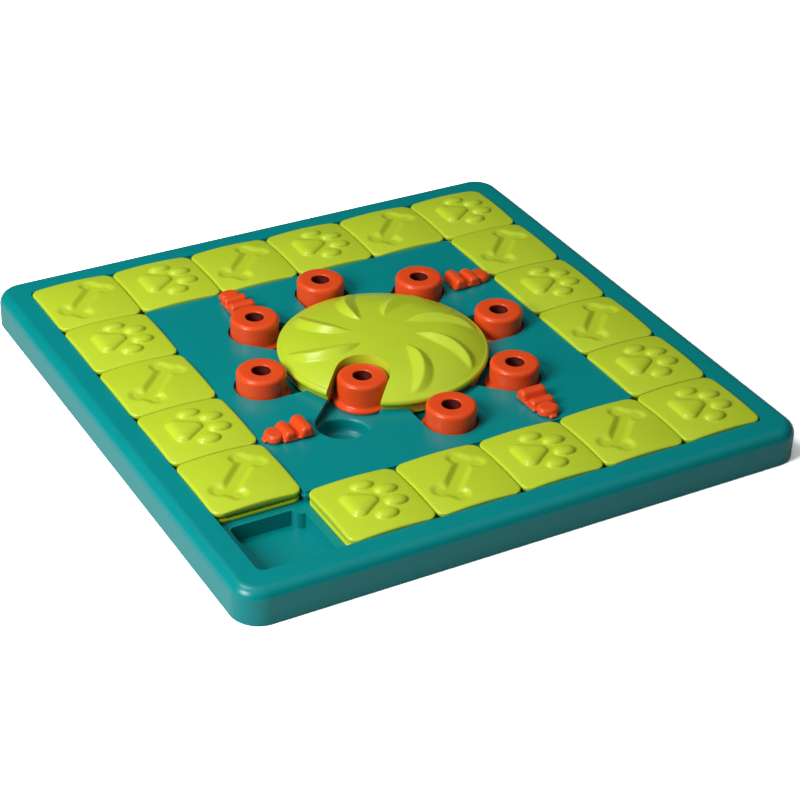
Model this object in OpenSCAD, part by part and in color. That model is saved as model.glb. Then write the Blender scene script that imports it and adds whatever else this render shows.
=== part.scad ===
// Dog puzzle feeder: a square board with a ring of sliding tiles over treat
// compartments, eight sliding pegs over treat cups, a turning wheel that
// locks the pegs, and four latches that lock the tiles.
// Origin: centre of the board, on the surface that it stands on. +Z is up.

/* [Board] */
// Pitch of the places round the ring
pitch = 62; // [61:0.5:70]
// Width of the plain border outside the ring
border_w = 20.5; // [19:0.5:30]
// Height of the board's top face above the table
board_h = 25; // [23:0.5:32]
// Corner radius of the board in plan
corner_r = 18.6; // [14:0.2:19]
// Radius of the rounded top edge
edge_r = 8; // [4:0.5:9]
// Wall thickness of the border's skirt
wall = 2.6; // [2:0.1:3.2]
// Thickness of the border plate and of the centre deck
deck_t = 4.4; // [4:0.1:6]
// Radius of the centre deck's corners
deck_corner_r = 3; // [1:0.5:4]
// Height of the skirt's lower edge above the table
skirt_lift = 0.8; // [0.5:0.1:1.2]

/* [Sliding fits] */
// Clearance above and below every sliding foot
run_gap = 0.3; // [0.25:0.05:0.4]
// Thickness of the feet of the tiles, pegs and latches
foot_t = 2.5; // [2:0.1:3.2]
// How far the deck and the border reach into the tiles' grooves
lip_w = 1.5; // [1:0.1:1.7]
// Thickness of those lips
lip_t = 1.8; // [1.4:0.1:2.2]

/* [Tiles] */
// Gap between neighbouring tiles
tile_gap = 0.7; // [0.7:0.05:1]
// Corner radius of a tile in plan
tile_corner_r = 7; // [6:0.5:8]
// Height of a tile's edge above the board
tile_rise = 2; // [1.4:0.1:3]
// Extra height of the tile's crowned middle
tile_crown = 1.8; // [1:0.1:2.4]
// Depth of the groove round a tile
groove_d = 2.2; // [2.1:0.1:3]
// How far the tile's foot stays inside its cap
foot_in = 0.4; // [0.2:0.1:0.6]
// Height of the raised paws
paw_rise = 1.6; // [1:0.1:2]
// Depth of the recessed bones
bone_depth = 1.6; // [1:0.1:2]
// Distance between the two ends of a bone
bone_len = 42; // [34:1:46]

/* [Treat compartments] */
// Width of the ledge between a place's edge and its compartment
ledge_w = 5; // [4:0.5:7]
// Width of the ledge next to the border
outer_ledge_w = 7; // [6:0.5:9]
// Corner radius of a compartment
pocket_r = 4; // [2:0.5:6]
// Depth of a compartment below its ledge
pocket_depth = 11.2; // [8:0.2:11.6]
// Thickness of the tray's outer wall
tray_wall = 3.6; // [3:0.1:5]
// Radius of the column in each corner compartment
column_r = 6.5; // [5:0.5:8]

/* [Base cover] */
// Thickness of the base cover
cover_t = 2.5; // [2:0.1:3]
// Radius of a rubber foot
foot_pad_r = 9; // [6:0.5:12]
// Thickness of a rubber foot
foot_pad_t = 1.6; // [1.4:0.1:2]

/* [Wheel] */
// Radius of the wheel
wheel_r = 73; // [70:0.5:75]
// Height of the wheel's middle above the deck
wheel_rise = 18.2; // [17:0.1:20]
// Radius of the dome's flat crown
crown_r = 400; // [300:10:500]
// Distance from the middle at which the dome's rounder shoulder begins
shoulder_at = 42; // [36:1:46]
// Height of the rim's underside above the deck
rim_lift = 2.8; // [2:0.1:3.5]
// Thickness of the wheel's rim
rim_t = 5; // [4:0.2:6]
// Thickness of the wheel's shell
shell_t = 2.8; // [2.2:0.1:3.4]
// How far the wheel covers the edge of the deck's round opening
well_lap = 2.3; // [1.5:0.1:3]
// Gap round what turns inside that opening
well_gap = 0.9; // [0.5:0.1:1.2]
// How far the wheel's raised vanes are lifted out of the dome
vane_lift = 0; // [-0.6:0.1:0.4]
// Radius of the wheel's spindle
spindle_r = 9; // [7:0.5:10]
// Radial running clearance of the spindle
spindle_gap = 0.05; // [0.03:0.01:0.08]

/* [Pegs] */
// Radius of a peg
peg_r = 17; // [15:0.5:17.5]
// Height of a peg's top above the deck
peg_rise = 12.4; // [10:0.2:13]
// Radius of the rounded edge of a peg's top
peg_edge_r = 2.5; // [1.5:0.1:3]
// How far the peg's foot stands out under the deck
foot_over = 2.8; // [2.4:0.1:3.2]
// Gap between a peg and the sides of its slot
slot_gap = 1.6; // [1.2:0.1:1.8]
// Gap between an outer peg and the wheel's rim
rim_gap = 3; // [2:0.1:3.4]
// Gap between the pushed-in peg and the wheel's notch
notch_gap = 1.8; // [1:0.1:2.4]
// Radius of the finger hole in a peg
hole_r = 6.5; // [5:0.5:8]
// Depth of the finger hole
hole_depth = 14; // [8:0.5:15]
// Depth of a treat cup below its ledge
cup_depth = 11.2; // [8:0.2:11.6]
// Radius of the curve between a cup's floor and its wall
cup_fillet = 5; // [3:0.5:7]

/* [Latches] */
// Travel of a latch
latch_travel = 4; // [3:0.1:4]
// Width of a latch at its inner end
latch_w = 19.5; // [16:0.5:21]
// Height of a latch's tallest ridge above the deck
latch_rise = 8; // [6:0.2:9]
// Width of the neck that passes through the deck
neck_w = 6; // [4:0.5:8]

/* [Screws] */
// Radius of a screw's shank
screw_r = 1.5; // [1.2:0.1:1.8]
// Radius of a screw's head
screw_head_r = 3; // [2.6:0.1:3.4]
// Height of a screw's head
screw_head_h = 1.4; // [1.2:0.1:1.6]

/* [Hidden] */
$fn = 96;
teal = [0.0, 0.50, 0.51];
lime = [0.70, 0.82, 0.16];
red = [0.90, 0.26, 0.11];
grey = [0.25, 0.26, 0.27];
steel = [0.70, 0.71, 0.72];

// Gaps that the photo doesn't show: screw threads in plastic, screws in plain holes, and pads in recesses
thread_gap = 0.05;
hole_gap = 0.3;
pad_gap = 0.2;
// How far a cutting shape reaches past the face that it cuts
past = 1;

// Levels, from the table up
cover_top = skirt_lift + cover_t;
plate_z = board_h - deck_t;
ledge_z = plate_z - foot_t - 2 * run_gap;
foot_z = ledge_z + run_gap;
lip_top = plate_z + lip_t;
cap_z = lip_top + run_gap;
pocket_floor = ledge_z - pocket_depth;
cup_floor = ledge_z - cup_depth;
table_t = 2.5;
blind_t = 2;

// Plan of the board
panel_half = 2 * pitch;
ring_half = 3 * pitch;
board_half = ring_half + border_w;
opening_r = 5;
wall_in = ring_half + 0.4;
wall_out = wall_in + tray_wall;
rim_w = 2.8;

// Screw posts of the border, screw bosses and round pillars of the deck
post_at = (wall_out + board_half - wall) / 2;
post_r = 4;
boss_r = post_r + 1;
deck_screw_at = panel_half - 12;
pillar_r = 5;
post_screw_grip = 9;
deck_screw_cover = 1.6;
screw_tip_gap = 0.6;

// Wheel and pegs
foot_r = peg_r + foot_over;
slot_half = peg_r + slot_gap;
peg_out = wheel_r + rim_gap + peg_r;
pillar_at = peg_out - 2;
well_r = wheel_r - well_lap;
skirt_r = well_r - well_gap;
peg_in = skirt_r - foot_r;
notch_half = peg_r + notch_gap;
rim_bead = rim_t / 2;
dome_edge = wheel_r - rim_bead;
dome_top = board_h + wheel_rise;
rim_low = board_h + rim_lift;
// The shoulder's arc leaves the crown's arc smoothly and ends on top of the rim
crown_dip = crown_r - sqrt(crown_r * crown_r - shoulder_at * shoulder_at);
shoulder_from = [shoulder_at, dome_top - crown_dip];
shoulder_in = [-shoulder_at, crown_dip - crown_r] / crown_r;
shoulder_to = [dome_edge, rim_low + rim_t] - shoulder_from;
shoulder_r = (shoulder_to * shoulder_to) / (2 * shoulder_to * shoulder_in);
shoulder_mid = shoulder_from + shoulder_r * shoulder_in;
cup_r = slot_half - 0.6;
cup_wall = 2.4;

// Hub: its eight-sided plate, the ring that it stands on, and the wheel's bearing
hub_flat = 24;
hub_ring_r = hub_flat - 1.5;
hub_ring_wall = 2.5;
bearing_r = spindle_r + 3.5;
bearing_low = cover_top + 5.6;
bearing_top = board_h - 1;
bearing_gap = 0.6;
washer_r = bearing_r - 1;
washer_t = 1.6;
washer_gap = 0.1;
wheel_screw_grip = 9;
wheel_screw_hole = 10;

// Tile: half its side, its middle's height, and the radius of its crowned top
tile_half = (pitch - tile_gap) / 2;
tile_top = board_h + tile_rise + tile_crown;
tile_crown_r = (tile_half * tile_half + tile_crown * tile_crown) / (2 * tile_crown);

// Latch: distances from the panel's edge inwards, widths, and the round ridges' radii
latch_row = pitch;
tip_at = 0.6;
head_at = 3.4;
mid_at = 12.4;
inner_at = 23.5;
latch_end = 35.5;
tip_half = 0.7;
point_half = 2.4;
head_r = 6.8;
mid_w = latch_w - 2.5;
head_ridge_r = 9;
mid_ridge_r = 5.2;
inner_ridge_r = 5.6;
neck_from = 10;
neck_to = 26;
latch_foot_w = 2 * neck_w;
latch_foot_over = 2;

// Directions of the eight slots; the first peg is pushed in
sector = 45;
PEG_ANGLES = [for (i = [0:7]) sector * (i - 3)];
PEGS = [for (i = [1:8]) str("peg_", i)];
PEG_TRAYS = [for (i = [1:8]) str("peg_tray_", i)];

// Sides of the board, counted the way the tray strips are turned
SIDES = ["front", "right", "back", "left"];
STRIPS = [for (s = SIDES) str("tray_", s)];
LATCHES = [for (s = SIDES) str("latch_", s)];

// Tiles: name, place along X and Y in pitches, figure
PAW = "paw";
BONE = "bone";
TILES = [
    ["tile_left_1", -2.5, -1.5, BONE], ["tile_left_2", -2.5, -0.5, PAW],
    ["tile_left_3", -2.5, 0.5, BONE], ["tile_left_4", -2.5, 1.5, PAW],
    ["tile_left_5", -2.5, 2.5, BONE],
    ["tile_back_1", -1.5, 2.5, PAW], ["tile_back_2", -0.5, 2.5, BONE],
    ["tile_back_3", 0.5, 2.5, PAW], ["tile_back_4", 1.5, 2.5, BONE],
    ["tile_back_5", 2.5, 2.5, PAW],
    ["tile_right_1", 2.5, 1.5, BONE], ["tile_right_2", 2.5, 0.5, PAW],
    ["tile_right_3", 2.5, -0.5, BONE], ["tile_right_4", 2.5, -1.5, PAW],
    ["tile_right_5", 2.5, -2.5, PAW],
    ["tile_front_1", 1.5, -2.5, BONE], ["tile_front_2", 0.5, -2.5, PAW],
    ["tile_front_3", -0.5, -2.5, BONE], ["tile_front_4", -1.5, -2.5, PAW]
];

// Spots of the fixings
DECK_SCREWS = [for (x = [-1, 1], y = [-1, 1]) [x * deck_screw_at, y * deck_screw_at]];
FRAME_SCREWS = [for (k = [0:3], t = [-1, 0, 1]) turned([t * panel_half, -post_at], k)];
foot_pad_at = ring_half * 0.9;
FEET = [for (x = [-1, 0, 1], y = [-1, 0, 1]) [x, y] * foot_pad_at];

// A point turned by k quarter turns
function turned(p, k) = k == 0 ? p : turned([-p[1], p[0]], k - 1);

// Square with round corners, centred
module round_square(half, r) {
    square([2 * half, 2 * (half - r)], center = true);
    square([2 * (half - r), 2 * half], center = true);
    for (x = [-1, 1], y = [-1, 1])
        translate([x * (half - r), y * (half - r)]) circle(r);
}

// Upright slab between two heights
module slab(z0, z1) {
    translate([0, 0, z0]) linear_extrude(z1 - z0) children();
}

// Half section of a slab whose top edge is rounded
module edge_profile(r, z0, z1, edge) {
    translate([0, z0]) square([r, z1 - edge - z0]);
    translate([0, z0]) square([r - edge, z1 - z0]);
    translate([r - edge, z1 - edge]) circle(edge);
}

// Square slab with round corners and a rounded top edge
module soft_slab(half, r, z0, z1, edge) {
    flat = half - r;
    slab(z0, z1) square(2 * flat, center = true);
    for (k = [0:3]) rotate(90 * k) {
        translate([flat, flat, 0])
            rotate_extrude(angle = 90) edge_profile(r, z0, z1, edge);
        translate([flat, flat, 0]) rotate([90, 0, 0])
            linear_extrude(2 * flat) edge_profile(r, z0, z1, edge);
    }
}

// Border, lips and outer skirt: one moulding
module border_frame() {
    color(teal) difference() {
        union() {
            difference() {
                soft_slab(board_half, corner_r, skirt_lift, board_h, edge_r);
                soft_slab(board_half - wall, corner_r - wall, 0, plate_z, edge_r - wall);
            }
            for (p = FRAME_SCREWS) translate(p)
                slab(cover_top, plate_z) circle(post_r);
        }
        slab(lip_top, board_h + past) round_square(ring_half, opening_r);
        slab(plate_z - past, lip_top + past) round_square(ring_half - lip_w, opening_r);
        for (p = FRAME_SCREWS) translate(p)
            slab(cover_top - past, plate_z - blind_t) circle(screw_r + thread_gap);
    }
}

// Outline of one peg's slot: round outer end, open to the middle
module slot_outline(half) {
    translate([peg_out, 0]) circle(half);
    translate([0, -half]) square([peg_out, 2 * half]);
}

// Centre deck: a plate with eight slots, a round opening and a rim below
module centre_deck() {
    color(teal) difference() {
        union() {
            slab(plate_z, board_h) round_square(panel_half, deck_corner_r);
            slab(plate_z, lip_top) round_square(panel_half + lip_w, deck_corner_r + lip_w);
            slab(ledge_z, plate_z) difference() {
                round_square(panel_half, deck_corner_r);
                square(2 * (panel_half - rim_w), center = true);
            }
            for (a = PEG_ANGLES) rotate(a + sector / 2) translate([pillar_at, 0])
                slab(ledge_z, plate_z) circle(pillar_r);
            for (p = DECK_SCREWS) translate(p)
                slab(ledge_z, plate_z) circle(boss_r);
        }
        for (a = PEG_ANGLES) rotate(a)
            slab(plate_z - past, board_h + past) slot_outline(slot_half);
        slab(plate_z - past, board_h + past) circle(well_r);
        for (k = [0:3]) rotate(90 * k) translate([latch_row, -panel_half])
            slab(plate_z - past, board_h + past) latch_slot();
        for (p = DECK_SCREWS) translate(p)
            slab(ledge_z - past, board_h - deck_screw_cover) circle(screw_r + thread_gap);
    }
}

// Plan of one side of the base tray
module strip_outline() {
    translate([-wall_out, -wall_out]) square([wall_out + panel_half, wall_out - panel_half]);
}

// One side of the base tray: five compartments, the first one in a corner
module tray_strip(k) {
    color(teal) rotate(90 * k) difference() {
        union() {
            slab(cover_top, ledge_z) strip_outline();
            slab(ledge_z, plate_z) difference() {
                strip_outline();
                translate([-wall_in, -wall_in]) square(2 * wall_out);
            }
        }
        for (i = [0:4]) slab(pocket_floor, ledge_z + past) pocket(i);
    }
}

// Outline of compartment i of a strip; the corner one keeps a round column
module pocket(i) {
    x0 = -ring_half + pitch * i + (i == 0 ? outer_ledge_w : ledge_w);
    x1 = -ring_half + pitch * (i + 1) - ledge_w;
    y0 = -ring_half + outer_ledge_w;
    y1 = -panel_half - ledge_w;
    difference() {
        union() {
            translate([x0 + pocket_r, y0]) square([x1 - x0 - 2 * pocket_r, y1 - y0]);
            translate([x0, y0 + pocket_r]) square([x1 - x0, y1 - y0 - 2 * pocket_r]);
            for (x = [x0 + pocket_r, x1 - pocket_r], y = [y0 + pocket_r, y1 - pocket_r])
                translate([x, y]) circle(pocket_r);
        }
        if (i == 0) translate([x1, y1]) circle(column_r);
    }
}

// Half section of a treat cup's hollow
module cup_hollow() {
    translate([0, cup_floor + cup_fillet]) square([cup_r, cup_depth - cup_fillet + past]);
    translate([0, cup_floor]) square([cup_r - cup_fillet, cup_depth]);
    intersection() {
        translate([cup_r - cup_fillet, cup_floor + cup_fillet]) circle(cup_fillet);
        translate([0, cup_floor]) square([cup_r, cup_depth]);
    }
}

// One eighth of the peg tray, with the treat cup under its peg; those in the corners hold a deck screw
module peg_tray(i) {
    in_corner = i % 2 == 0;
    far = 2 * panel_half;
    spread = far * tan(sector / 2);
    color(teal) difference() {
        union() {
            slab(ledge_z - table_t, ledge_z) intersection() {
                square(2 * panel_half, center = true);
                rotate(PEG_ANGLES[i]) polygon([
                    [hub_flat, -hub_flat * tan(sector / 2)], [far, -spread],
                    [far, spread], [hub_flat, hub_flat * tan(sector / 2)]
                ]);
            }
            rotate(PEG_ANGLES[i]) {
                translate([peg_out, 0]) slab(cover_top, ledge_z) circle(cup_r + cup_wall);
                if (in_corner) translate([deck_screw_at * sqrt(2), 0])
                    slab(cover_top, ledge_z) circle(boss_r);
            }
        }
        rotate(PEG_ANGLES[i]) {
            translate([peg_out, 0, 0]) rotate_extrude() cup_hollow();
            if (in_corner) translate([deck_screw_at * sqrt(2), 0])
                slab(cover_top - past, ledge_z + past) circle(screw_r + hole_gap);
        }
    }
}

// Middle of the tray: an eight-sided plate with the wheel's bearing
module hub_base() {
    color(teal) difference() {
        union() {
            slab(ledge_z - table_t, ledge_z)
                rotate(sector / 2) circle(hub_flat / cos(sector / 2), $fn = 8);
            slab(bearing_low, bearing_top) circle(bearing_r);
            slab(cover_top, ledge_z - table_t / 2) difference() {
                circle(hub_ring_r);
                circle(hub_ring_r - hub_ring_wall);
            }
        }
        slab(bearing_low - past, bearing_top + past) circle(spindle_r + spindle_gap);
    }
}

// Flat cover that closes the underside
module base_cover() {
    color(teal) difference() {
        slab(skirt_lift, cover_top)
            round_square(board_half - wall - hole_gap, corner_r - wall - hole_gap);
        for (p = concat(FRAME_SCREWS, DECK_SCREWS)) translate(p) {
            slab(skirt_lift - past, cover_top + past) circle(screw_r + hole_gap);
            slab(skirt_lift - past, skirt_lift + screw_head_h) circle(screw_head_r + hole_gap);
        }
        for (p = FEET) translate(p)
            slab(skirt_lift - past, foot_pad_t) circle(foot_pad_r + pad_gap);
    }
}

// Rubber feet, let into the cover
module rubber_feet() {
    color(grey) for (p = FEET) translate(p) slab(0, foot_pad_t) circle(foot_pad_r);
}

// One screw, its head seated at z0
module screw(z0, z1) {
    slab(z0 - screw_head_h, z1) circle(screw_r);
    slab(z0 - screw_head_h, z0) circle(screw_head_r);
}

// Screws that hold the border and the deck to the cover
module case_screws() {
    seat = skirt_lift + screw_head_h;
    color(steel) {
        for (p = FRAME_SCREWS) translate(p) screw(seat, cover_top + post_screw_grip);
        for (p = DECK_SCREWS) translate(p) screw(seat, board_h - deck_screw_cover - screw_tip_gap);
    }
}

// Plan of one vane: the space between two arcs, cut square just short of the points where they meet
module vane_outline() {
    inner_tip = [18.5, 7.7];
    outer_tip = [66, -13.7];
    long_bow = 2.5;
    short_bow = 11.5;
    blunting = 1.5;
    chord = outer_tip - inner_tip;
    reach = norm(chord) / 2;
    long_r = (reach * reach + long_bow * long_bow) / (2 * long_bow);
    short_r = (reach * reach + short_bow * short_bow) / (2 * short_bow);
    translate((inner_tip + outer_tip) / 2) rotate(atan2(chord[1], chord[0])) intersection() {
        square([2 * (reach - blunting), 4 * short_bow], center = true);
        difference() {
            translate([0, short_bow - short_r]) circle(short_r);
            translate([0, long_bow - long_r]) circle(long_r, $fn = 192);
        }
    }
}

// One raised vane: highest in its middle, and fading towards both ends
module vane() {
    crest_mid = [34.5, -60.3];
    crest_r = 62.1;
    drawn_for = 73;
    intersection() {
        slab(rim_low + rim_bead, 2 * dome_top) scale(wheel_r / drawn_for) vane_outline();
        rotate_extrude() intersection() {
            translate(crest_mid + [0, dome_top + vane_lift]) circle(crest_r);
            translate([0, rim_low]) square([dome_edge, dome_top]);
        }
    }
}

// Half section of the dome, lowered by drop, down to the height low
module dome_profile(drop, low) {
    intersection() {
        translate([0, dome_top - drop - crown_r]) circle(crown_r, $fn = 720);
        translate([0, low]) square([shoulder_at, dome_top - low]);
    }
    intersection() {
        translate(shoulder_mid - [0, drop]) circle(shoulder_r, $fn = 360);
        translate([shoulder_at, low]) square([dome_edge - shoulder_at, dome_top - low]);
    }
}

// Wheel: a domed shell with a rim, seven vanes, a notch, a skirt and a spindle
module wheel() {
    color(lime) difference() {
        union() {
            difference() {
                union() {
                    rotate_extrude() {
                        dome_profile(0, rim_low);
                        translate([dome_edge, rim_low + rim_bead]) circle(rim_bead);
                    }
                    for (i = [1:7]) rotate(PEG_ANGLES[i]) vane();
                }
                intersection() {
                    slab(plate_z, dome_top) circle(skirt_r - shell_t);
                    rotate_extrude() dome_profile(shell_t, plate_z);
                }
            }
            intersection() {
                slab(plate_z, dome_top) {
                    difference() {
                        circle(skirt_r);
                        circle(skirt_r - shell_t);
                    }
                    intersection() {
                        circle(skirt_r);
                        notch_outline(notch_half + shell_t);
                    }
                    circle(bearing_r);
                }
                rotate_extrude() dome_profile(shell_t / 2, plate_z);
            }
        }
        slab(plate_z - past, 2 * dome_top) notch_outline(notch_half);
        slab(plate_z - past, bearing_top + run_gap) circle(bearing_r + bearing_gap);
    }
    color(lime) difference() {
        slab(bearing_low - run_gap, bearing_top + run_gap + past) circle(spindle_r);
        slab(bearing_low - run_gap - past, bearing_low + wheel_screw_hole) circle(screw_r + thread_gap);
    }
}

// Plan of the wheel's notch, towards the pushed-in peg
module notch_outline(half) {
    rotate(PEG_ANGLES[0]) {
        translate([peg_in, 0]) circle(half);
        translate([peg_in, -half]) square([wheel_r, 2 * half]);
    }
}

// Washer that keeps the wheel on its bearing
module wheel_washer() {
    top = bearing_low - run_gap;
    color(steel) slab(top - washer_t, top) difference() {
        circle(washer_r);
        circle(screw_r + washer_gap);
    }
}

// Screw in the end of the wheel's spindle
module wheel_screw() {
    seat = bearing_low - run_gap - washer_t;
    color(steel) screw(seat, seat + wheel_screw_grip);
}

// Peg i: a round grip with a finger hole and a wide foot under the deck
module peg(i) {
    top = board_h + peg_rise;
    hole_edge_r = 1;
    at = i == 0 ? peg_in : peg_out;
    color(red) rotate(PEG_ANGLES[i]) translate([at, 0, 0]) rotate_extrude() difference() {
        union() {
            translate([0, foot_z]) square([foot_r, foot_t]);
            edge_profile(peg_r, foot_z, top, peg_edge_r);
        }
        translate([-past, top - hole_depth]) square([hole_r + past, hole_depth + past]);
        difference() {
            translate([hole_r - hole_edge_r, top - hole_edge_r]) square(2 * hole_edge_r);
            translate([hole_r + hole_edge_r, top - hole_edge_r]) circle(hole_edge_r);
        }
    }
}

// Slot for the neck of a latch, long enough for its travel
module latch_slot() {
    translate([-neck_w / 2 - run_gap, neck_from - latch_travel - run_gap])
        square([neck_w + 2 * run_gap, neck_to - neck_from + latch_travel + 2 * run_gap]);
}

// Stepped plan of a latch's grip, wide inside and pointed at the ring
module latch_outline() {
    polygon([
        [-tip_half, tip_at], [tip_half, tip_at], [point_half, head_at],
        [point_half, mid_at], [-point_half, mid_at], [-point_half, head_at]
    ]);
    intersection() {
        translate([0, head_at + head_r - 0.6]) circle(head_r);
        translate([-head_r, head_at]) square([2 * head_r, mid_at - head_at + past]);
    }
    translate([-mid_w / 2, mid_at]) square([mid_w, inner_at - mid_at]);
    translate([-latch_w / 2, inner_at - past]) square([latch_w, latch_end - inner_at + past]);
}

// Round ridge across a latch, its centre line above at
module ridge(at, r, rise) {
    translate([-latch_w / 2, at, board_h + rise - r]) rotate([0, 90, 0])
        cylinder(r = r, h = latch_w);
}

// Latch k: a ridged grip, a neck through the deck and a foot below it
module latch(k) {
    base = board_h + run_gap;
    sole_rise = latch_rise * 0.4;
    color(red) rotate(90 * k) translate([latch_row, -panel_half, 0]) {
        intersection() {
            slab(base, board_h + latch_rise + past) latch_outline();
            union() {
                slab(base, base + sole_rise) translate([-latch_w, 0]) square([2 * latch_w, latch_end]);
                ridge(latch_end - inner_ridge_r, inner_ridge_r, latch_rise);
                ridge(mid_at + mid_ridge_r, mid_ridge_r, latch_rise * 0.84);
                ridge(head_at + 5, head_ridge_r, latch_rise * 0.6);
            }
        }
        slab(foot_z, base + past) translate([-neck_w / 2, neck_from])
            square([neck_w, neck_to - neck_from]);
        slab(foot_z, foot_z + foot_t) translate([-latch_foot_w / 2, neck_from - latch_foot_over])
            square([latch_foot_w, neck_to - neck_from + 2 * latch_foot_over]);
    }
}

// Outline of the bone figure, lying across the tile's corners
module bone_outline() {
    knob_r = 6.6;
    knob_side = 5.6;
    knob_at = bone_len / 2 - knob_r + 1.6;
    shaft_w = 9;
    rotate(45) {
        square([2 * knob_at, shaft_w], center = true);
        for (x = [-1, 1], y = [-1, 1]) translate([x * knob_at, y * knob_side]) circle(knob_r);
    }
}

// Raised pad: a round boss with a rounded top edge
module pad(r, low, high) {
    rotate_extrude() intersection() {
        edge_profile(r, low, high, min(paw_rise, r - 0.5));
        translate([0, low]) square([r, high - low]);
    }
}

// Paw figure: a three-cornered heel and four toes, pointing to +X
module paw_pads(low, high) {
    heel_corners = [[-13, 6.5], [-13, -6.5], [-2, 0]];
    heel_r = 6.6;
    heel_web = [[-15, 9], [-15, -9], [-10, -10.5], [1.5, -5.4], [3, 0], [1.5, 5.4], [-10, 10.5]];
    toes = [[0.5, 16], [11.5, 6], [11.5, -6], [0.5, -16]];
    toe_r = 4.6;
    toe_stretch = 2.4;
    for (p = heel_corners) translate(p) pad(heel_r, low, high);
    slab(low, high - paw_rise * 0.3) polygon(heel_web);
    for (p = toes, s = [-toe_stretch, toe_stretch]) translate([p[0] + s, p[1]]) pad(toe_r, low, high);
}

// Tile: a crowned cap, a groove for the lips and a foot on the ledge
module tile(t) {
    color(lime) translate([t[1] * pitch, t[2] * pitch, 0]) {
        slab(foot_z, foot_z + foot_t) round_square(tile_half - foot_in, tile_corner_r - foot_in);
        slab(foot_z, cap_z + past) round_square(tile_half - groove_d, tile_corner_r - groove_d);
        difference() {
            intersection() {
                slab(cap_z, tile_top + past) round_square(tile_half, tile_corner_r);
                translate([0, 0, tile_top - tile_crown_r]) sphere(tile_crown_r, $fn = 360);
            }
            if (t[3] == BONE) slab(tile_top - bone_depth, tile_top + past) bone_outline();
        }
        if (t[3] == PAW) paw_pads(cap_z + past, tile_top + paw_rise * 0.6);
    }
}

border_frame();
centre_deck();
base_cover();
rubber_feet();
case_screws();
hub_base();
wheel();
wheel_washer();
wheel_screw();
for (k = [0:3]) tray_strip(k);
for (k = [0:3]) latch(k);
for (i = [0:7]) peg_tray(i);
for (i = [0:7]) peg(i);
for (t = TILES) tile(t);
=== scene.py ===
import math

import bpy
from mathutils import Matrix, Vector


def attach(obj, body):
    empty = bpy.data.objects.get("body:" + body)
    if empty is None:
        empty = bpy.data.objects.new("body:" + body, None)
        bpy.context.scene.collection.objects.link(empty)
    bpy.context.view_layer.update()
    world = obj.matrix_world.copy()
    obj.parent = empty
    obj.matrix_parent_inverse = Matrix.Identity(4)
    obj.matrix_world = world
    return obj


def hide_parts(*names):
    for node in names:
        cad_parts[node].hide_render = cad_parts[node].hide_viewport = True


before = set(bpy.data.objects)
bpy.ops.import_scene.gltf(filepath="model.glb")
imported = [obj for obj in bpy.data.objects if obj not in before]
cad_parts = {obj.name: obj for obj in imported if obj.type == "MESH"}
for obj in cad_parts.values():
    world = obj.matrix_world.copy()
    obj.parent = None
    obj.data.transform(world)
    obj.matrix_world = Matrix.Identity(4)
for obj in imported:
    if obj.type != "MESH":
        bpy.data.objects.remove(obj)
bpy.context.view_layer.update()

# === Border frame ===
# The teal ABS ring that carries the whole board: a flat border with a large
# rounded top edge and a skirt, injection moulded in one shot and screwed to
# the cover from below. Its inner lips hold the tiles down.

# The toy's sizes are in millimetres, and mm turns them into Blender's metres.
mm = 0.001
border_easing = 0.5
join_within = 0.002
flat_within = 0.4
sharp_from = 40
smooth_below = 38


def only(piece):
    """Selects one piece alone, for the operators that act on the selection."""
    bpy.ops.object.select_all(action="DESELECT")
    piece.select_set(True)
    bpy.context.view_layer.objects.active = piece


def pick(piece, test):
    """Selects exactly the vertices that pass the test, and the edges and faces between them."""
    bpy.ops.object.mode_set(mode="OBJECT")
    mesh = piece.data
    for v in mesh.vertices:
        v.select = test(v.co)
    for part in (mesh.edges, mesh.polygons):
        for item in part:
            item.select = all(mesh.vertices[i].select for i in item.vertices)
    bpy.ops.object.mode_set(mode="EDIT")


def eased_copy(node, easing_width, body, on_rim=None, rim_round=0.0):
    """A copy of a CAD piece, its triangles joined and its sharp edges eased, with more on a chosen rim."""
    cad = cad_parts[node]
    piece = bpy.data.objects.new(node + "_moulded", cad.data.copy())
    bpy.context.collection.objects.link(piece)
    only(piece)
    bpy.ops.mesh.customdata_custom_splitnormals_clear()
    bpy.ops.object.mode_set(mode="EDIT")
    bpy.ops.mesh.select_all(action="SELECT")
    bpy.ops.mesh.remove_doubles(threshold=join_within * mm)
    bpy.ops.mesh.dissolve_limited(angle_limit=math.radians(flat_within))
    if on_rim:
        pick(piece, on_rim)
        bpy.ops.mesh.bevel(offset=rim_round * mm, segments=6, affect="EDGES")
    bpy.ops.object.mode_set(mode="OBJECT")
    easing = piece.modifiers.new("easing", "BEVEL")
    easing.width = easing_width * mm
    easing.segments = 2
    easing.limit_method = "ANGLE"
    easing.angle_limit = math.radians(sharp_from)
    bpy.ops.object.modifier_apply(modifier="easing")
    bpy.ops.object.shade_smooth_by_angle(angle=math.radians(smooth_below))
    flats = piece.modifiers.new("flats", "WEIGHTED_NORMAL")
    flats.keep_sharp = True
    bpy.ops.object.modifier_apply(modifier="flats")
    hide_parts(node)
    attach(piece, body)
    return piece


flow_scale = 22
flow_detail = 3
dullness_spread = 0.05
grain_scale = 2600
grain_detail = 2
grain_depth = 0.03


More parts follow.
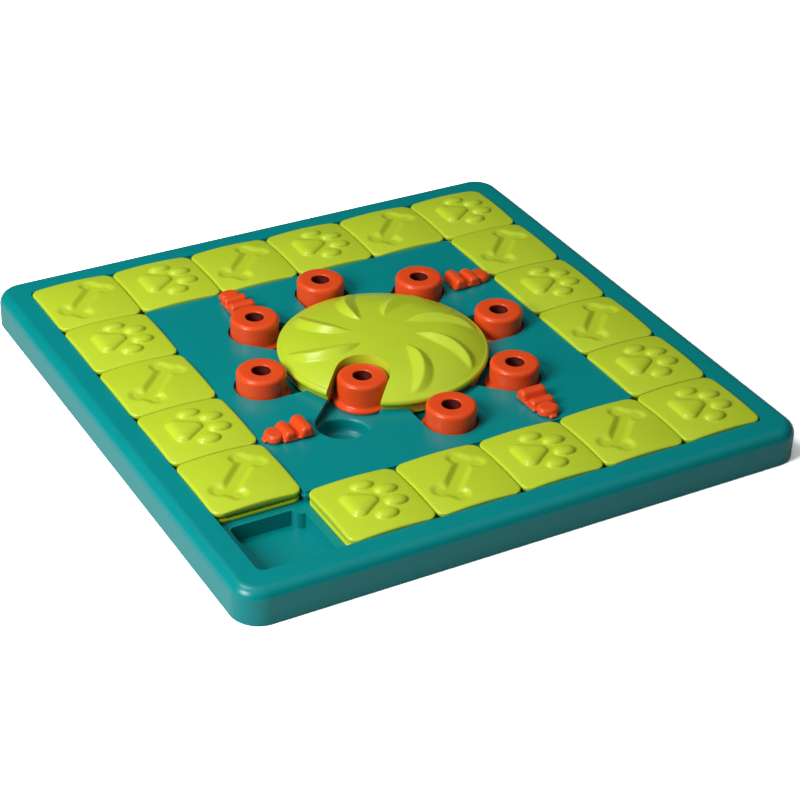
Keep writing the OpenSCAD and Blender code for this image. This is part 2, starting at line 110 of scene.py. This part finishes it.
def moulded_skin_group():
    """The skin of a moulded plastic: faint flow marks in the colour, uneven dullness and a fine grain."""
    group = bpy.data.node_groups.new("moulded_skin", "ShaderNodeTree")
    for name, kind in (("Colour", "NodeSocketColor"), ("Flow marks", "NodeSocketFloat"),
                       ("Dullness", "NodeSocketFloat"), ("Grain", "NodeSocketFloat")):
        group.interface.new_socket(name, in_out="INPUT", socket_type=kind)
    for name, kind in (("Colour", "NodeSocketColor"), ("Roughness", "NodeSocketFloat"),
                       ("Normal", "NodeSocketVector")):
        group.interface.new_socket(name, in_out="OUTPUT", socket_type=kind)
    add = group.nodes.new
    link = group.links.new
    given = add("NodeGroupInput")
    made = add("NodeGroupOutput")
    place = add("ShaderNodeTexCoord")

    flow = add("ShaderNodeTexNoise")
    flow.inputs["Scale"].default_value = flow_scale
    flow.inputs["Detail"].default_value = flow_detail
    link(place.outputs["Object"], flow.inputs["Vector"])
    centred = add("ShaderNodeMath")
    centred.operation = "SUBTRACT"
    centred.inputs[1].default_value = 0.5
    link(flow.outputs["Fac"], centred.inputs[0])
    marks = add("ShaderNodeMath")
    marks.operation = "MULTIPLY_ADD"
    marks.inputs[2].default_value = 1.0
    link(centred.outputs[0], marks.inputs[0])
    link(given.outputs["Flow marks"], marks.inputs[1])
    tint = add("ShaderNodeVectorMath")
    tint.operation = "SCALE"
    link(given.outputs["Colour"], tint.inputs[0])
    link(marks.outputs[0], tint.inputs["Scale"])
    link(tint.outputs[0], made.inputs["Colour"])

    dull = add("ShaderNodeMath")
    dull.operation = "MULTIPLY_ADD"
    dull.inputs[1].default_value = dullness_spread
    link(centred.outputs[0], dull.inputs[0])
    link(given.outputs["Dullness"], dull.inputs[2])
    link(dull.outputs[0], made.inputs["Roughness"])

    grain = add("ShaderNodeTexNoise")
    grain.inputs["Scale"].default_value = grain_scale
    grain.inputs["Detail"].default_value = grain_detail
    link(place.outputs["Object"], grain.inputs["Vector"])
    relief = add("ShaderNodeBump")
    relief.inputs["Distance"].default_value = grain_depth * mm
    link(grain.outputs["Fac"], relief.inputs["Height"])
    link(given.outputs["Grain"], relief.inputs["Strength"])
    link(relief.outputs["Normal"], made.inputs["Normal"])
    return group


moulded_skin = moulded_skin_group()


def skinned(name, colour, dullness, flow_marks, grain):
    """A material with the moulded skin on it, and its shader for what else the material needs."""
    material = bpy.data.materials.new(name)
    material.use_nodes = True
    shader = material.node_tree.nodes["Principled BSDF"]
    skin = material.node_tree.nodes.new("ShaderNodeGroup")
    skin.node_tree = moulded_skin
    skin.inputs["Colour"].default_value = (*colour, 1)
    skin.inputs["Flow marks"].default_value = flow_marks
    skin.inputs["Dullness"].default_value = dullness
    skin.inputs["Grain"].default_value = grain
    for out, into in (("Colour", "Base Color"), ("Roughness", "Roughness"), ("Normal", "Normal")):
        material.node_tree.links.new(skin.outputs[out], shader.inputs[into])
    return material, shader


def plastic(name, colour, dullness, flow_marks=0.10, grain=0.5, specular=0.35):
    """A moulded plastic or rubber; dullness is 0 for a mirror and 1 for a matt face."""
    material, shader = skinned(name, colour, dullness, flow_marks, grain)
    shader.inputs["Specular IOR Level"].default_value = specular
    return material


def finish_with(piece, material):
    """Gives a whole piece one material, also where the CAD piece came with several slots."""
    if not piece.material_slots:
        piece.data.materials.append(material)
    for spot in piece.material_slots:
        spot.material = material


teal = plastic("teal_abs", colour=(0.0, 0.245, 0.250), dullness=0.28)

border = eased_copy("border_frame", border_easing, "board")
finish_with(border, teal)

# === Centre deck ===
# The second teal moulding: a flat plate over the cup trays with eight slots
# that run into the wheel's opening, and four short slots for the latches. Four
# screws from below hold it down.
deck_easing = 0.5

deck = eased_copy("centre_deck", deck_easing, "board")
finish_with(deck, teal)

# === Trays under the ring and under the deck, hub and cover ===
# Teal mouldings too, painted a little darker than the deck as painted shade,
# and a little rougher: treat compartments, round treat cups, the wheel's
# bearing and the flat plate that closes the bottom.
sides = ("front", "right", "back", "left")
peg_numbers = range(1, 9)
ring_tray_easing = 0.6
cup_tray_easing = 0.5
cup_out = 93.0
cup_r = 18.0
cup_rim_round = 2.2
ledge_top = 17.5
rim_slack = 0.1
# A teal a little darker than the deck's: painted shade for the compartments, the cups and what lies under the
# wheel.
teal_inside_painted_shade = plastic("teal_abs_inside_painted_shade", colour=(0.0, 0.235, 0.240), dullness=0.34)


def along_slot(number, out):
    """The place this far from the middle along a peg's slot; slot 1 points to the near left corner."""
    angle = math.radians(-135 + 45 * (number - 1))
    return Vector((out * math.cos(angle), out * math.sin(angle)))


def on_cup_rim(co, cup):
    """Whether a vertex lies on the round rim of the treat cup with this middle."""
    from_rim = (co.xy - cup * mm).length - cup_r * mm
    return co.z > (ledge_top - rim_slack) * mm and abs(from_rim) < rim_slack * mm


for side in sides:
    tray = eased_copy("tray_" + side, ring_tray_easing, "board")
    finish_with(tray, teal_inside_painted_shade)
for number in peg_numbers:
    cup = along_slot(number, cup_out)
    tray = eased_copy("peg_tray_%d" % number, cup_tray_easing, "board",
                      on_rim=lambda co: on_cup_rim(co, cup), rim_round=cup_rim_round)
    finish_with(tray, teal_inside_painted_shade)
for node in ("hub_base", "base_cover"):
    finish_with(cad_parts[node], teal_inside_painted_shade)

# === Rubber feet and screws ===
# Nine black rubber discs are pressed into the cover, and zinc-plated pan-head
# screws hold the cover to the border and the deck and keep the wheel down.
rubber = plastic("black_rubber", colour=(0.02, 0.02, 0.021), dullness=0.75, grain=1.0, specular=0.3)
finish_with(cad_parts["rubber_feet"], rubber)

zinc, zinc_shader = skinned("zinc_plate", colour=(0.62, 0.62, 0.60), dullness=0.32,
                            flow_marks=0.25, grain=0.6)
zinc_shader.inputs["Metallic"].default_value = 1.0
for node in ("case_screws", "wheel_washer", "wheel_screw"):
    finish_with(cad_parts[node], zinc)

# === Tiles ===
# Nineteen lime ABS tiles, each a pillowed cap over a groove and a thin foot
# that runs under the border's lips. The paws are raised and the bones are
# scooped out of the cap in the mould, all of them soft and without an edge.
tile_pitch = 62
tile_half = 30.65
tile_round = 7
least_round = 0.2
cap_top = 28.8
cap_low = 22.7
cap_edge = 1.7
cap_chamfer = 0.4
crown = 1.8
crown_from = 24
groove_half = 28.45
foot_half = 30.25
foot_top = 20.3
foot_low = 17.8
foot_chamfer = 0.25
figure_half = 26.4
figure_cells = 96
figure_from = 25
plain_half = 27.7
modelled_smooth_below = 50
lime = plastic("lime_abs", colour=(0.52, 0.67, 0.030), dullness=0.24, specular=0.45)


def arc(r, z, radius, start, end, steps):
    """The points of a round stretch of a profile about a centre, from one angle to another in degrees."""
    angles = [math.radians(start + (end - start) * step / steps) for step in range(steps + 1)]
    return [(r + radius * math.cos(angle), z + radius * math.sin(angle)) for angle in angles]


def add_ring(half, height):
    """Extrudes the open edge of the cap to the next rounded square, half wide and at that height."""
    bpy.ops.mesh.extrude_region_move()
    bpy.ops.object.mode_set(mode="OBJECT")
    ring = [v for v in bpy.context.object.data.vertices if v.select]
    reach = max(max(abs(v.co.x), abs(v.co.y)) for v in ring)
    turn = max(tile_round - (tile_half - half), least_round)
    core = half - turn
    for v in ring:
        spot = v.co.xy * (half / reach)
        if abs(spot.x) > core and abs(spot.y) > core:
            corner = Vector((math.copysign(core, spot.x), math.copysign(core, spot.y)))
            spot = corner + (spot - corner).normalized() * turn
        v.co = (spot.x * mm, spot.y * mm, height * mm)
    bpy.ops.object.mode_set(mode="EDIT")


def blank_tile(name):
    """The tile without its figure, centred on the board's middle."""
    bpy.ops.object.select_all(action="DESELECT")
    bpy.ops.mesh.primitive_grid_add(x_subdivisions=figure_cells, y_subdivisions=figure_cells,
                                    size=2 * figure_half * mm, location=(0, 0, cap_top * mm))
    tile = bpy.context.object
    tile.name = name
    bpy.ops.object.transform_apply(location=True)
    bpy.ops.object.mode_set(mode="EDIT")
    bpy.ops.mesh.select_all(action="SELECT")
    bpy.ops.mesh.region_to_loop()
    rings = [(plain_half, cap_top)]
    rings += arc(tile_half - cap_edge, cap_top - cap_edge, cap_edge, 90, 0, 4)
    rings += [(tile_half, cap_low + cap_chamfer), (tile_half - cap_chamfer, cap_low)]
    rings += [(groove_half, cap_low), (groove_half, foot_top)]
    rings += [(foot_half - foot_chamfer, foot_top), (foot_half, foot_top - foot_chamfer)]
    rings += [(foot_half, foot_low + foot_chamfer), (foot_half - foot_chamfer, foot_low)]
    for half, height in rings:
        add_ring(half, height)
    bpy.ops.mesh.edge_face_add()
    bpy.ops.mesh.select_all(action="SELECT")
    bpy.ops.mesh.normals_make_consistent(inside=False)
    bpy.ops.object.mode_set(mode="OBJECT")
    for v in tile.data.vertices:
        height = v.co.z / mm
        if height > crown_from:
            away = (v.co.x ** 2 + v.co.y ** 2) / (tile_half * mm) ** 2
            share = (height - crown_from) / (cap_top - crown_from)
            v.co.z -= crown * away * share * mm
    return tile


def raise_by(piece, above, share_at, strength):
    """Lifts or sinks what lies above a height, by the share of strength that share_at gives at each place."""
    group = piece.vertex_groups.new(name="relief")
    for v in piece.data.vertices:
        if v.co.z > above * mm:
            share = share_at(v.co.x / mm, v.co.y / mm)
            if share > 0:
                group.add([v.index], min(share, 1.0), "REPLACE")
    only(piece)
    lift = piece.modifiers.new("relief", "DISPLACE")
    lift.direction = "Z"
    lift.mid_level = 0
    lift.strength = strength * mm
    lift.vertex_group = "relief"
    bpy.ops.object.modifier_apply(modifier="relief")
    piece.vertex_groups.clear()


def placed_copy(blank, node, x, y):
    """A copy of a blank with its own mesh, at its place on the board and selected alone."""
    piece = bpy.data.objects.new(node + "_moulded", blank.data.copy())
    bpy.context.collection.objects.link(piece)
    piece.location = (x * mm, y * mm, 0)
    only(piece)
    bpy.ops.object.transform_apply(location=True)
    return piece


def near_line(x, y, ax, ay, bx, by):
    """Distance from a point to the line between two points."""
    t = ((x - ax) * (bx - ax) + (y - ay) * (by - ay)) / ((bx - ax) ** 2 + (by - ay) ** 2)
    t = min(max(t, 0.0), 1.0)
    return math.hypot(x - ax - t * (bx - ax), y - ay - t * (by - ay))


cove_reach = 0.8
cove_height = 0.06
edge_spread = 0.3


def rounded(depth, width):
    """Height of a rounded edge, 0 to 1, at a depth inside the outline; a small cove eases its foot."""
    if depth <= -cove_reach:
        return 0.0
    t = min(max((depth + edge_spread) / width, 0.0), 1.0)
    cove = cove_height * max(1 - abs(depth) / cove_reach, 0.0)
    return max(math.sqrt(1 - (1 - t) ** 2), cove)


def merged(depths, blend):
    """Largest of several depths, with the valleys between them filled softly."""
    best = depths[0]
    for depth in depths[1:]:
        h = min(max(0.5 + (depth - best) / (2 * blend), 0.0), 1.0)
        best = best + (depth - best) * h + blend * h * (1 - h)
    return best


paw_rise = 2.7
heel_corners = ((-12.8, 7.6), (-12.8, -7.6), (-1.6, 0.0))
heel_round = 5.2
heel_blend = 2.5
heel_edge = 7.0
toes = ((1.6, 16.6), (13.4, 6.9), (13.4, -6.9), (1.6, -16.6))
toe_long = 7.3
toe_wide = 4.9
toe_edge = 4.3
toe_height = 0.95


def paw(x, y):
    """Share of the paw's height: a heel pad with three round corners and four oval toes."""
    edges = [(heel_corners[i - 1], heel_corners[i]) for i in range(3)]
    away = [near_line(x, y, *p, *q) for p, q in edges]
    within = all((q[0] - p[0]) * (y - p[1]) - (q[1] - p[1]) * (x - p[0]) >= 0 for p, q in edges)
    inside = max(-merged([-d for d in away], heel_blend), 0.0) if within else -min(away)
    best = rounded(heel_round + inside, heel_edge)
    for cx, cy in toes:
        out = math.hypot((x - cx) / toe_long, (y - cy) / toe_wide)
        best = max(best, toe_height * rounded((1 - out) * toe_wide, toe_edge))
    return best


bone_depth = 2.5
shaft_half = 6.6
shaft_end = 12.5
knob_r = 6.8
knobs_along = 13.4
knobs_apart = 4.6
knob_blend = 3.0
wall_start = 1.0
wall_width = 5.2
floor_rise = 0.0009


def bone(x, y):
    """Share of the bone's depth: a shaft with two knobs at each end, and a floor flatter than the cap."""
    parts = [shaft_half - near_line(x, y, -shaft_end, -shaft_end, shaft_end, shaft_end)]
    for end in (-1, 1):
        for turn in (-1, 1):
            cx = end * knobs_along - turn * knobs_apart
            cy = end * knobs_along + turn * knobs_apart
            parts.append(knob_r - math.hypot(x - cx, y - cy))
    t = min(max((merged(parts, knob_blend) + wall_start) / wall_width, 0.0), 1.0)
    return t * t * (3 - 2 * t) * (1 - floor_rise * (x * x + y * y))


paw_tile = blank_tile("paw_tile")
raise_by(paw_tile, figure_from, paw, paw_rise)
bone_tile = blank_tile("bone_tile")
raise_by(bone_tile, figure_from, bone, -bone_depth)

# Each row: its name, its first tile's column and row from the middle, the step
# to the next tile, and its figures. The near left corner stays empty.
tile_rows = (
    ("left", (-2.5, -1.5), (0, 1), ("bone", "paw", "bone", "paw", "bone")),
    ("back", (-1.5, 2.5), (1, 0), ("paw", "bone", "paw", "bone", "paw")),
    ("right", (2.5, 1.5), (0, -1), ("bone", "paw", "bone", "paw", "paw")),
    ("front", (1.5, -2.5), (-1, 0), ("bone", "paw", "bone", "paw")),
)
for side, (column, row), (step_x, step_y), figures in tile_rows:
    for i, figure in enumerate(figures):
        node = "tile_%s_%d" % (side, i + 1)
        tile = placed_copy(paw_tile if figure == "paw" else bone_tile, node,
                           (column + i * step_x) * tile_pitch, (row + i * step_y) * tile_pitch)
        bpy.ops.object.shade_smooth_by_angle(angle=math.radians(modelled_smooth_below))
        finish_with(tile, lime)
        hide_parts(node)
        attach(tile, node)
bpy.data.objects.remove(paw_tile)
bpy.data.objects.remove(bone_tile)

# === Wheel ===
# One lime ABS moulding: a shallow dome with a rounder shoulder and a beaded
# rim, seven raised vanes that curve out from the middle, a deep notch for one
# peg, and a spindle below that turns in the hub.
deck_top = 25.0
wheel_r = 73.0
wheel_low = 20.6
rim_low = deck_top + 2.8
bead_r = 2.5
dome_edge = wheel_r - bead_r
dome_top = deck_top + 18.2
crown_r = 400.0
shoulder_at = 42.0
skirt_r = 69.8
skirt_top = 27.2
spindle_r = 9
spindle_low = 8.6
hollow_r = 20
hollow_top = 24.3
dome_rings = 96
wheel_steps = 480
seam_within = 0.004

# The shoulder is the arc that leaves the crown without a kink and meets the bead.
dip = crown_r - math.sqrt(crown_r ** 2 - shoulder_at ** 2)
inward = Vector((-shoulder_at / crown_r, (dip - crown_r) / crown_r))
across = Vector((dome_edge - shoulder_at, rim_low + 2 * bead_r - dome_top + dip))
shoulder_r = across.length_squared / (2 * across.dot(inward))
shoulder_mid = Vector((shoulder_at, dome_top - dip)) + shoulder_r * inward


def dome_height(r):
    """Height of the bare dome at a distance from the axis."""
    if r < shoulder_at:
        return dome_top - crown_r + math.sqrt(crown_r ** 2 - r ** 2)
    return shoulder_mid.y + math.sqrt(max(shoulder_r ** 2 - (r - shoulder_mid.x) ** 2, 0))


def turned(name, profile, steps):
    """A turned solid: the profile's points (distance from the axis, height), spun about +Z."""
    bpy.ops.object.select_all(action="DESELECT")
    bpy.ops.mesh.primitive_plane_add(size=mm)
    piece = bpy.context.object
    piece.name = name
    bpy.ops.object.mode_set(mode="EDIT")
    bpy.ops.mesh.select_all(action="SELECT")
    bpy.ops.mesh.merge(type="CENTER")
    bpy.ops.transform.translate(value=(profile[0][0] * mm, 0, profile[0][1] * mm))
    for (r0, z0), (r1, z1) in zip(profile, profile[1:]):
        step = ((r1 - r0) * mm, 0, (z1 - z0) * mm)
        bpy.ops.mesh.extrude_region_move(TRANSFORM_OT_translate={"value": step})
    bpy.ops.mesh.select_all(action="SELECT")
    bpy.ops.mesh.spin(steps=steps, angle=math.tau, center=(0, 0, 0), axis=(0, 0, 1))
    bpy.ops.mesh.select_all(action="SELECT")
    bpy.ops.mesh.remove_doubles(threshold=seam_within * mm)
    bpy.ops.mesh.normals_make_consistent(inside=False)
    bpy.ops.object.mode_set(mode="OBJECT")
    return piece


wheel_profile = [(0, spindle_low), (spindle_r, spindle_low), (spindle_r, hollow_top), (hollow_r, hollow_top),
                 (hollow_r, wheel_low), (skirt_r, wheel_low), (skirt_r, skirt_top)]
wheel_profile += arc(dome_edge, rim_low + bead_r, bead_r, -90, 90, 12)
for ring in range(1, dome_rings + 1):
    r = dome_edge * (1 - ring / dome_rings)
    wheel_profile.append((r, dome_height(r)))
wheel = turned("wheel_moulded", wheel_profile, wheel_steps)

# The vanes: above the dome, each is what a long slope and a short slope share.
# Each slope is a part of a large ball, placed here for the vane that runs to +X.
vane_turns = range(-90, 181, 45)
vane_rise = 4.6
vane_from = 14
vane_end = 67.8
long_ball = (44.9, 87.8, -217.4)
long_r = 250
short_ball = (34.5, -12.1, -23.3)
short_r = 46.7
crest_blend = 0.45
foot_blend = 0.35
ridge_at = 33
ridge_reach = 20
ridge_more = 0.35
nose_length = 7
vane_clear = 0.5
field_along = (12, 72)
field_aside = (-24, 18)
least_rise = 0.002
relief_above = 32


def slope(x, y, ball, r):
    """Height of a ball's upper face over the deck's top; beyond the ball, that of its middle."""
    return ball[2] + math.sqrt(max(r * r - (x - ball[0]) ** 2 - (y - ball[1]) ** 2, 0))


def soft_least(a, b, blend):
    """The smaller of two heights, with the kink between them rounded off."""
    h = min(max(0.5 + (b - a) / (2 * blend), 0.0), 1.0)
    return b + (a - b) * h - blend * h * (1 - h)


def vane_height(x, y):
    """Height of a vane over the dome; it is highest near the middle and ends in a round nose."""
    r = math.hypot(x, y)
    dome = dome_height(min(r, dome_edge)) - deck_top
    long_slope = slope(x, y, long_ball, long_r) - dome
    short_slope = slope(x, y, short_ball, short_r) - dome
    rise = soft_least(long_slope, short_slope, crest_blend)
    if rise < -vane_clear or r > vane_end:
        return 0.0
    ridge = 1 + ridge_more * max(1 - abs(r - ridge_at) / ridge_reach, 0)
    nose = math.sqrt(1 - max((r - vane_end + nose_length) / nose_length, 0) ** 2)
    return max(-soft_least(-rise, 0.0, foot_blend), 0.0) * ridge * nose


def vane_share(x, y):
    """Share of the vanes' height at a place on the wheel, each vane within its own field."""
    if not vane_from < math.hypot(x, y) < vane_end:
        return 0.0
    best = 0.0
    for turn in vane_turns:
        c = math.cos(math.radians(turn))
        s = math.sin(math.radians(turn))
        along = x * c + y * s
        aside = -x * s + y * c
        if field_along[0] < along < field_along[1] and field_aside[0] < aside < field_aside[1]:
            best = max(best, vane_height(along, aside))
    return best / vane_rise if best > least_rise else 0.0


raise_by(wheel, relief_above, vane_share, vane_rise)

# The notch: a round-ended cut right through, towards the pushed-in peg.
notch_half = 18.8
notch_mid = 50.0
notch_turn = -135
cutter_low = 15
cutter_tall = 45
cutter_run = 40
middle_slack = 0.2
lip_round = 0.8
lip_from = 60

bpy.ops.object.select_all(action="DESELECT")
bpy.ops.mesh.primitive_circle_add(vertices=128, radius=notch_half * mm, fill_type="NGON",
                                  location=(notch_mid * mm, 0, cutter_low * mm))
cutter = bpy.context.object
bpy.ops.object.transform_apply(location=True)
pick(cutter, lambda co: co.x > (notch_mid + middle_slack) * mm)
bpy.ops.transform.translate(value=(cutter_run * mm, 0, 0))
bpy.ops.mesh.select_all(action="SELECT")
bpy.ops.mesh.extrude_region_move(TRANSFORM_OT_translate={"value": (0, 0, cutter_tall * mm)})
bpy.ops.mesh.select_all(action="SELECT")
bpy.ops.mesh.normals_make_consistent(inside=False)
bpy.ops.object.mode_set(mode="OBJECT")
cutter.rotation_euler.z = math.radians(notch_turn)
bpy.ops.object.transform_apply(rotation=True)
only(wheel)
cut = wheel.modifiers.new("notch", "BOOLEAN")
cut.operation = "DIFFERENCE"
cut.solver = "EXACT"
cut.object = cutter
bpy.ops.object.modifier_apply(modifier="notch")
bpy.data.objects.remove(cutter)
lip = wheel.modifiers.new("lip", "BEVEL")
lip.width = lip_round * mm
lip.segments = 3
lip.limit_method = "ANGLE"
lip.angle_limit = math.radians(lip_from)
bpy.ops.object.modifier_apply(modifier="lip")
bpy.ops.object.shade_smooth_by_angle(angle=math.radians(modelled_smooth_below))
finish_with(wheel, lime)
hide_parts("wheel")
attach(wheel, "wheel")

# === Pegs ===
# Eight red ABS pegs: a short round grip with a rounded rim and a finger hole,
# flaring below into the wide foot that runs under the deck, level with the
# feet of the tiles.
peg_r = 17.0
peg_top = 37.4
peg_rim = 2.9
peg_foot_r = 19.8
peg_foot_edge = 0.4
cove_r = 2.2
hole_r = 6.5
hole_floor = 23.4
hole_rim = 0.9
# How the hole's wall turns into its floor: places inwards from the wall and up from the floor.
floor_turn = ((0.15, 1.0), (0.5, 0.3), (1.2, 0.0))
peg_steps = 96
red = plastic("red_abs", colour=(0.82, 0.078, 0.014), dullness=0.26)
# The finger hole's wall gets a near-black red: painted shade inside the hole.
red_hole_painted_shade = plastic("red_abs_hole_painted_shade", colour=(0.09, 0.006, 0.003), dullness=0.60)

peg_profile = [(0, foot_low), (peg_foot_r - peg_foot_edge, foot_low), (peg_foot_r, foot_low + peg_foot_edge),
               (peg_foot_r, foot_top - peg_foot_edge), (peg_foot_r - peg_foot_edge, foot_top)]
peg_profile += arc(peg_r + cove_r, foot_top + cove_r, cove_r, -90, -180, 6)
peg_profile += arc(peg_r - peg_rim, peg_top - peg_rim, peg_rim, 0, 90, 9)
peg_profile += arc(hole_r + hole_rim, peg_top - hole_rim, hole_rim, 90, 180, 6)
peg_profile += [(hole_r - inwards, hole_floor + up) for inwards, up in floor_turn]
peg_profile.append((0, hole_floor))
peg_blank = turned("peg_blank", peg_profile, peg_steps)
for number in peg_numbers:
    node = "peg_%d" % number
    middle = along_slot(number, notch_mid if number == 1 else cup_out)
    peg = placed_copy(peg_blank, node, middle.x, middle.y)
    bpy.ops.object.shade_smooth_by_angle(angle=math.radians(modelled_smooth_below))
    finish_with(peg, red)
    peg.data.materials.append(red_hole_painted_shade)
    # The faces inside the finger hole, above the foot, take the painted shade.
    for face in peg.data.polygons:
        away = (face.center.xy - middle * mm).length
        if away < hole_r * mm and face.center.z > foot_top * mm:
            face.material_index = 1
    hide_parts(node)
    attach(peg, node)
bpy.data.objects.remove(peg_blank)

# === Latches ===
# Four red ABS latches: two round ridges for the thumb and a low head with a
# blunt point, on a neck that passes through the deck to a foot below it.
latch_aside = 62.0
deck_half = 124.0
latch_low = deck_top + 0.3
shell_size = 0.34
relax_rounds = 8


def lump(size, place, edge, steps=4, crest=1.0, taper=1.0, lean=0.0, oval=False):
    """A rounded block or oval; crest and taper narrow its top along Y and X, and lean moves it along Y."""
    bpy.ops.object.select_all(action="DESELECT")
    if oval:
        bpy.ops.mesh.primitive_cylinder_add(vertices=48, radius=0.5, depth=1)
    else:
        bpy.ops.mesh.primitive_cube_add(size=1)
    block = bpy.context.object
    block.scale = [s * mm for s in size]
    bpy.ops.object.transform_apply(scale=True)
    pick(block, lambda co: co.z > 0)
    bpy.ops.transform.resize(value=(taper, crest, 1))
    bpy.ops.transform.translate(value=(0, lean * mm, 0))
    bpy.ops.object.mode_set(mode="OBJECT")
    rounding = block.modifiers.new("rounding", "BEVEL")
    rounding.width = edge * mm
    rounding.segments = steps
    rounding.limit_method = "ANGLE"
    bpy.ops.object.modifier_apply(modifier="rounding")
    block.location = [p * mm for p in place]
    bpy.ops.object.transform_apply(location=True)
    return block


# The latch is made over the board's middle: the deck's edge is at Y 0 there, and +Y runs inwards.
big_ridge = lump((19.8, 12.8, 8.3), (0, 29.3, latch_low + 3.95), 2.5, 6, crest=0.52, taper=0.97, lean=0.5)
small_ridge = lump((17.8, 11.6, 7.0), (0, 17.8, latch_low + 3.3), 2.3, 6, crest=0.54, taper=0.97, lean=0.3)
sole = lump((17.8, 22.0, 2.2), (0, 24.0, latch_low + 1.1), 0.9)
head = lump((16.2, 13.4, 5.2), (0, 9.0, latch_low + 2.5), 2.0, 6, crest=0.86, taper=0.90, lean=0.6, oval=True)
tip = lump((6.4, 5.4, 2.2), (0, 3.6, latch_low + 1.1), 1.05, crest=0.8, taper=0.7)
neck = lump((6.0, 16.0, 9.0), (0, 18.0, 22.0), 0.4, 2)
foot = lump((12.0, 20.0, 2.5), (0, 18.0, 19.05), 0.4, 2)
only(big_ridge)
for block in (small_ridge, sole, head, tip, neck, foot):
    block.select_set(True)
bpy.ops.object.join()
latch_blank = bpy.context.object
shell = latch_blank.modifiers.new("shell", "REMESH")
shell.mode = "VOXEL"
shell.voxel_size = shell_size * mm
bpy.ops.object.modifier_apply(modifier="shell")
relax = latch_blank.modifiers.new("relax", "SMOOTH")
relax.factor = 0.5
relax.iterations = relax_rounds
bpy.ops.object.modifier_apply(modifier="relax")

for quarter, side in enumerate(sides):
    node = "latch_" + side
    latch = placed_copy(latch_blank, node, latch_aside, -deck_half)
    latch.rotation_euler.z = math.radians(90 * quarter)
    bpy.ops.object.transform_apply(rotation=True)
    bpy.ops.object.shade_smooth()
    finish_with(latch, red)
    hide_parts(node)
    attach(latch, node)
bpy.data.objects.remove(latch_blank)

# === Studio ===
# A white table in a room that is dark at the sides and lighter above, with a
# large soft lamp at the left and a weaker one high at the back left. The camera
# looks down from the near left, and sees the table and the room as plain white.

# The studio's sizes and places are in metres.
table_size = 12
table_lit = (0.62, 0.62, 0.62, 1)
table_seen = (2.8, 2.8, 2.8, 1)
room_dark = 0.02
room_light = 0.50
light_from = 0.60
lamp_aim = (0, 0, 0.03)

scene = bpy.context.scene
bpy.ops.object.select_all(action="DESELECT")
bpy.ops.mesh.primitive_plane_add(size=table_size)
table = bpy.context.object
table.name = "table"
table_white = bpy.data.materials.new("table_white")
table_white.use_nodes = True
paper = table_white.node_tree.nodes["Principled BSDF"]
paper.inputs["Roughness"].default_value = 1.0
paper.inputs["Specular IOR Level"].default_value = 0.0
seen = table_white.node_tree.nodes.new("ShaderNodeLightPath")
tone = table_white.node_tree.nodes.new("ShaderNodeMix")
tone.data_type = "RGBA"
tone.inputs["A"].default_value = table_lit
tone.inputs["B"].default_value = table_seen
table_white.node_tree.links.new(seen.outputs["Is Camera Ray"], tone.inputs["Factor"])
table_white.node_tree.links.new(tone.outputs["Result"], paper.inputs["Base Color"])
finish_with(table, table_white)

world = bpy.data.worlds.new("room")
scene.world = world
world.use_nodes = True
room = world.node_tree
background = room.nodes["Background"]
background.inputs["Color"].default_value = (1, 1, 1, 1)
view = room.nodes.new("ShaderNodeTexCoord")
parts = room.nodes.new("ShaderNodeSeparateXYZ")
climb = room.nodes.new("ShaderNodeMapRange")
climb.inputs["From Min"].default_value = light_from
climb.inputs["From Max"].default_value = 1.0
climb.inputs["To Min"].default_value = room_dark
climb.inputs["To Max"].default_value = room_light
eye = room.nodes.new("ShaderNodeLightPath")
shown = room.nodes.new("ShaderNodeMix")
shown.data_type = "FLOAT"
shown.inputs["B"].default_value = 1.0
room.links.new(view.outputs["Generated"], parts.inputs[0])
room.links.new(parts.outputs["Z"], climb.inputs["Value"])
room.links.new(climb.outputs["Result"], shown.inputs["A"])
room.links.new(eye.outputs["Is Camera Ray"], shown.inputs["Factor"])
room.links.new(shown.outputs["Result"], background.inputs["Strength"])


def soft_lamp(name, place, size, watts):
    """A square lamp at a place, aimed at the toy."""
    lamp_data = bpy.data.lights.new(name, "AREA")
    lamp_data.shape = "SQUARE"
    lamp_data.size = size
    lamp_data.energy = watts
    lamp = bpy.data.objects.new(name, lamp_data)
    bpy.context.collection.objects.link(lamp)
    lamp.location = place
    lamp.rotation_euler = (Vector(lamp_aim) - Vector(place)).to_track_quat("-Z", "Y").to_euler()


soft_lamp("key", place=(-1.25, -0.28, 0.88), size=0.6, watts=21)
soft_lamp("back", place=(-0.54, 0.39, 1.40), size=0.5, watts=6.5)

camera_place = (-0.65000, -1.13493, 0.81409)
camera_turn = (57.7044, -1.8151, -29.2275)
camera = bpy.data.objects.new("camera", bpy.data.cameras.new("camera"))
bpy.context.collection.objects.link(camera)
camera.location = camera_place
camera.rotation_euler = [math.radians(angle) for angle in camera_turn]
camera.data.sensor_width = 36
camera.data.lens = 99.75
camera.data.clip_end = 60
scene.camera = camera
scene.view_settings.view_transform = "Standard"
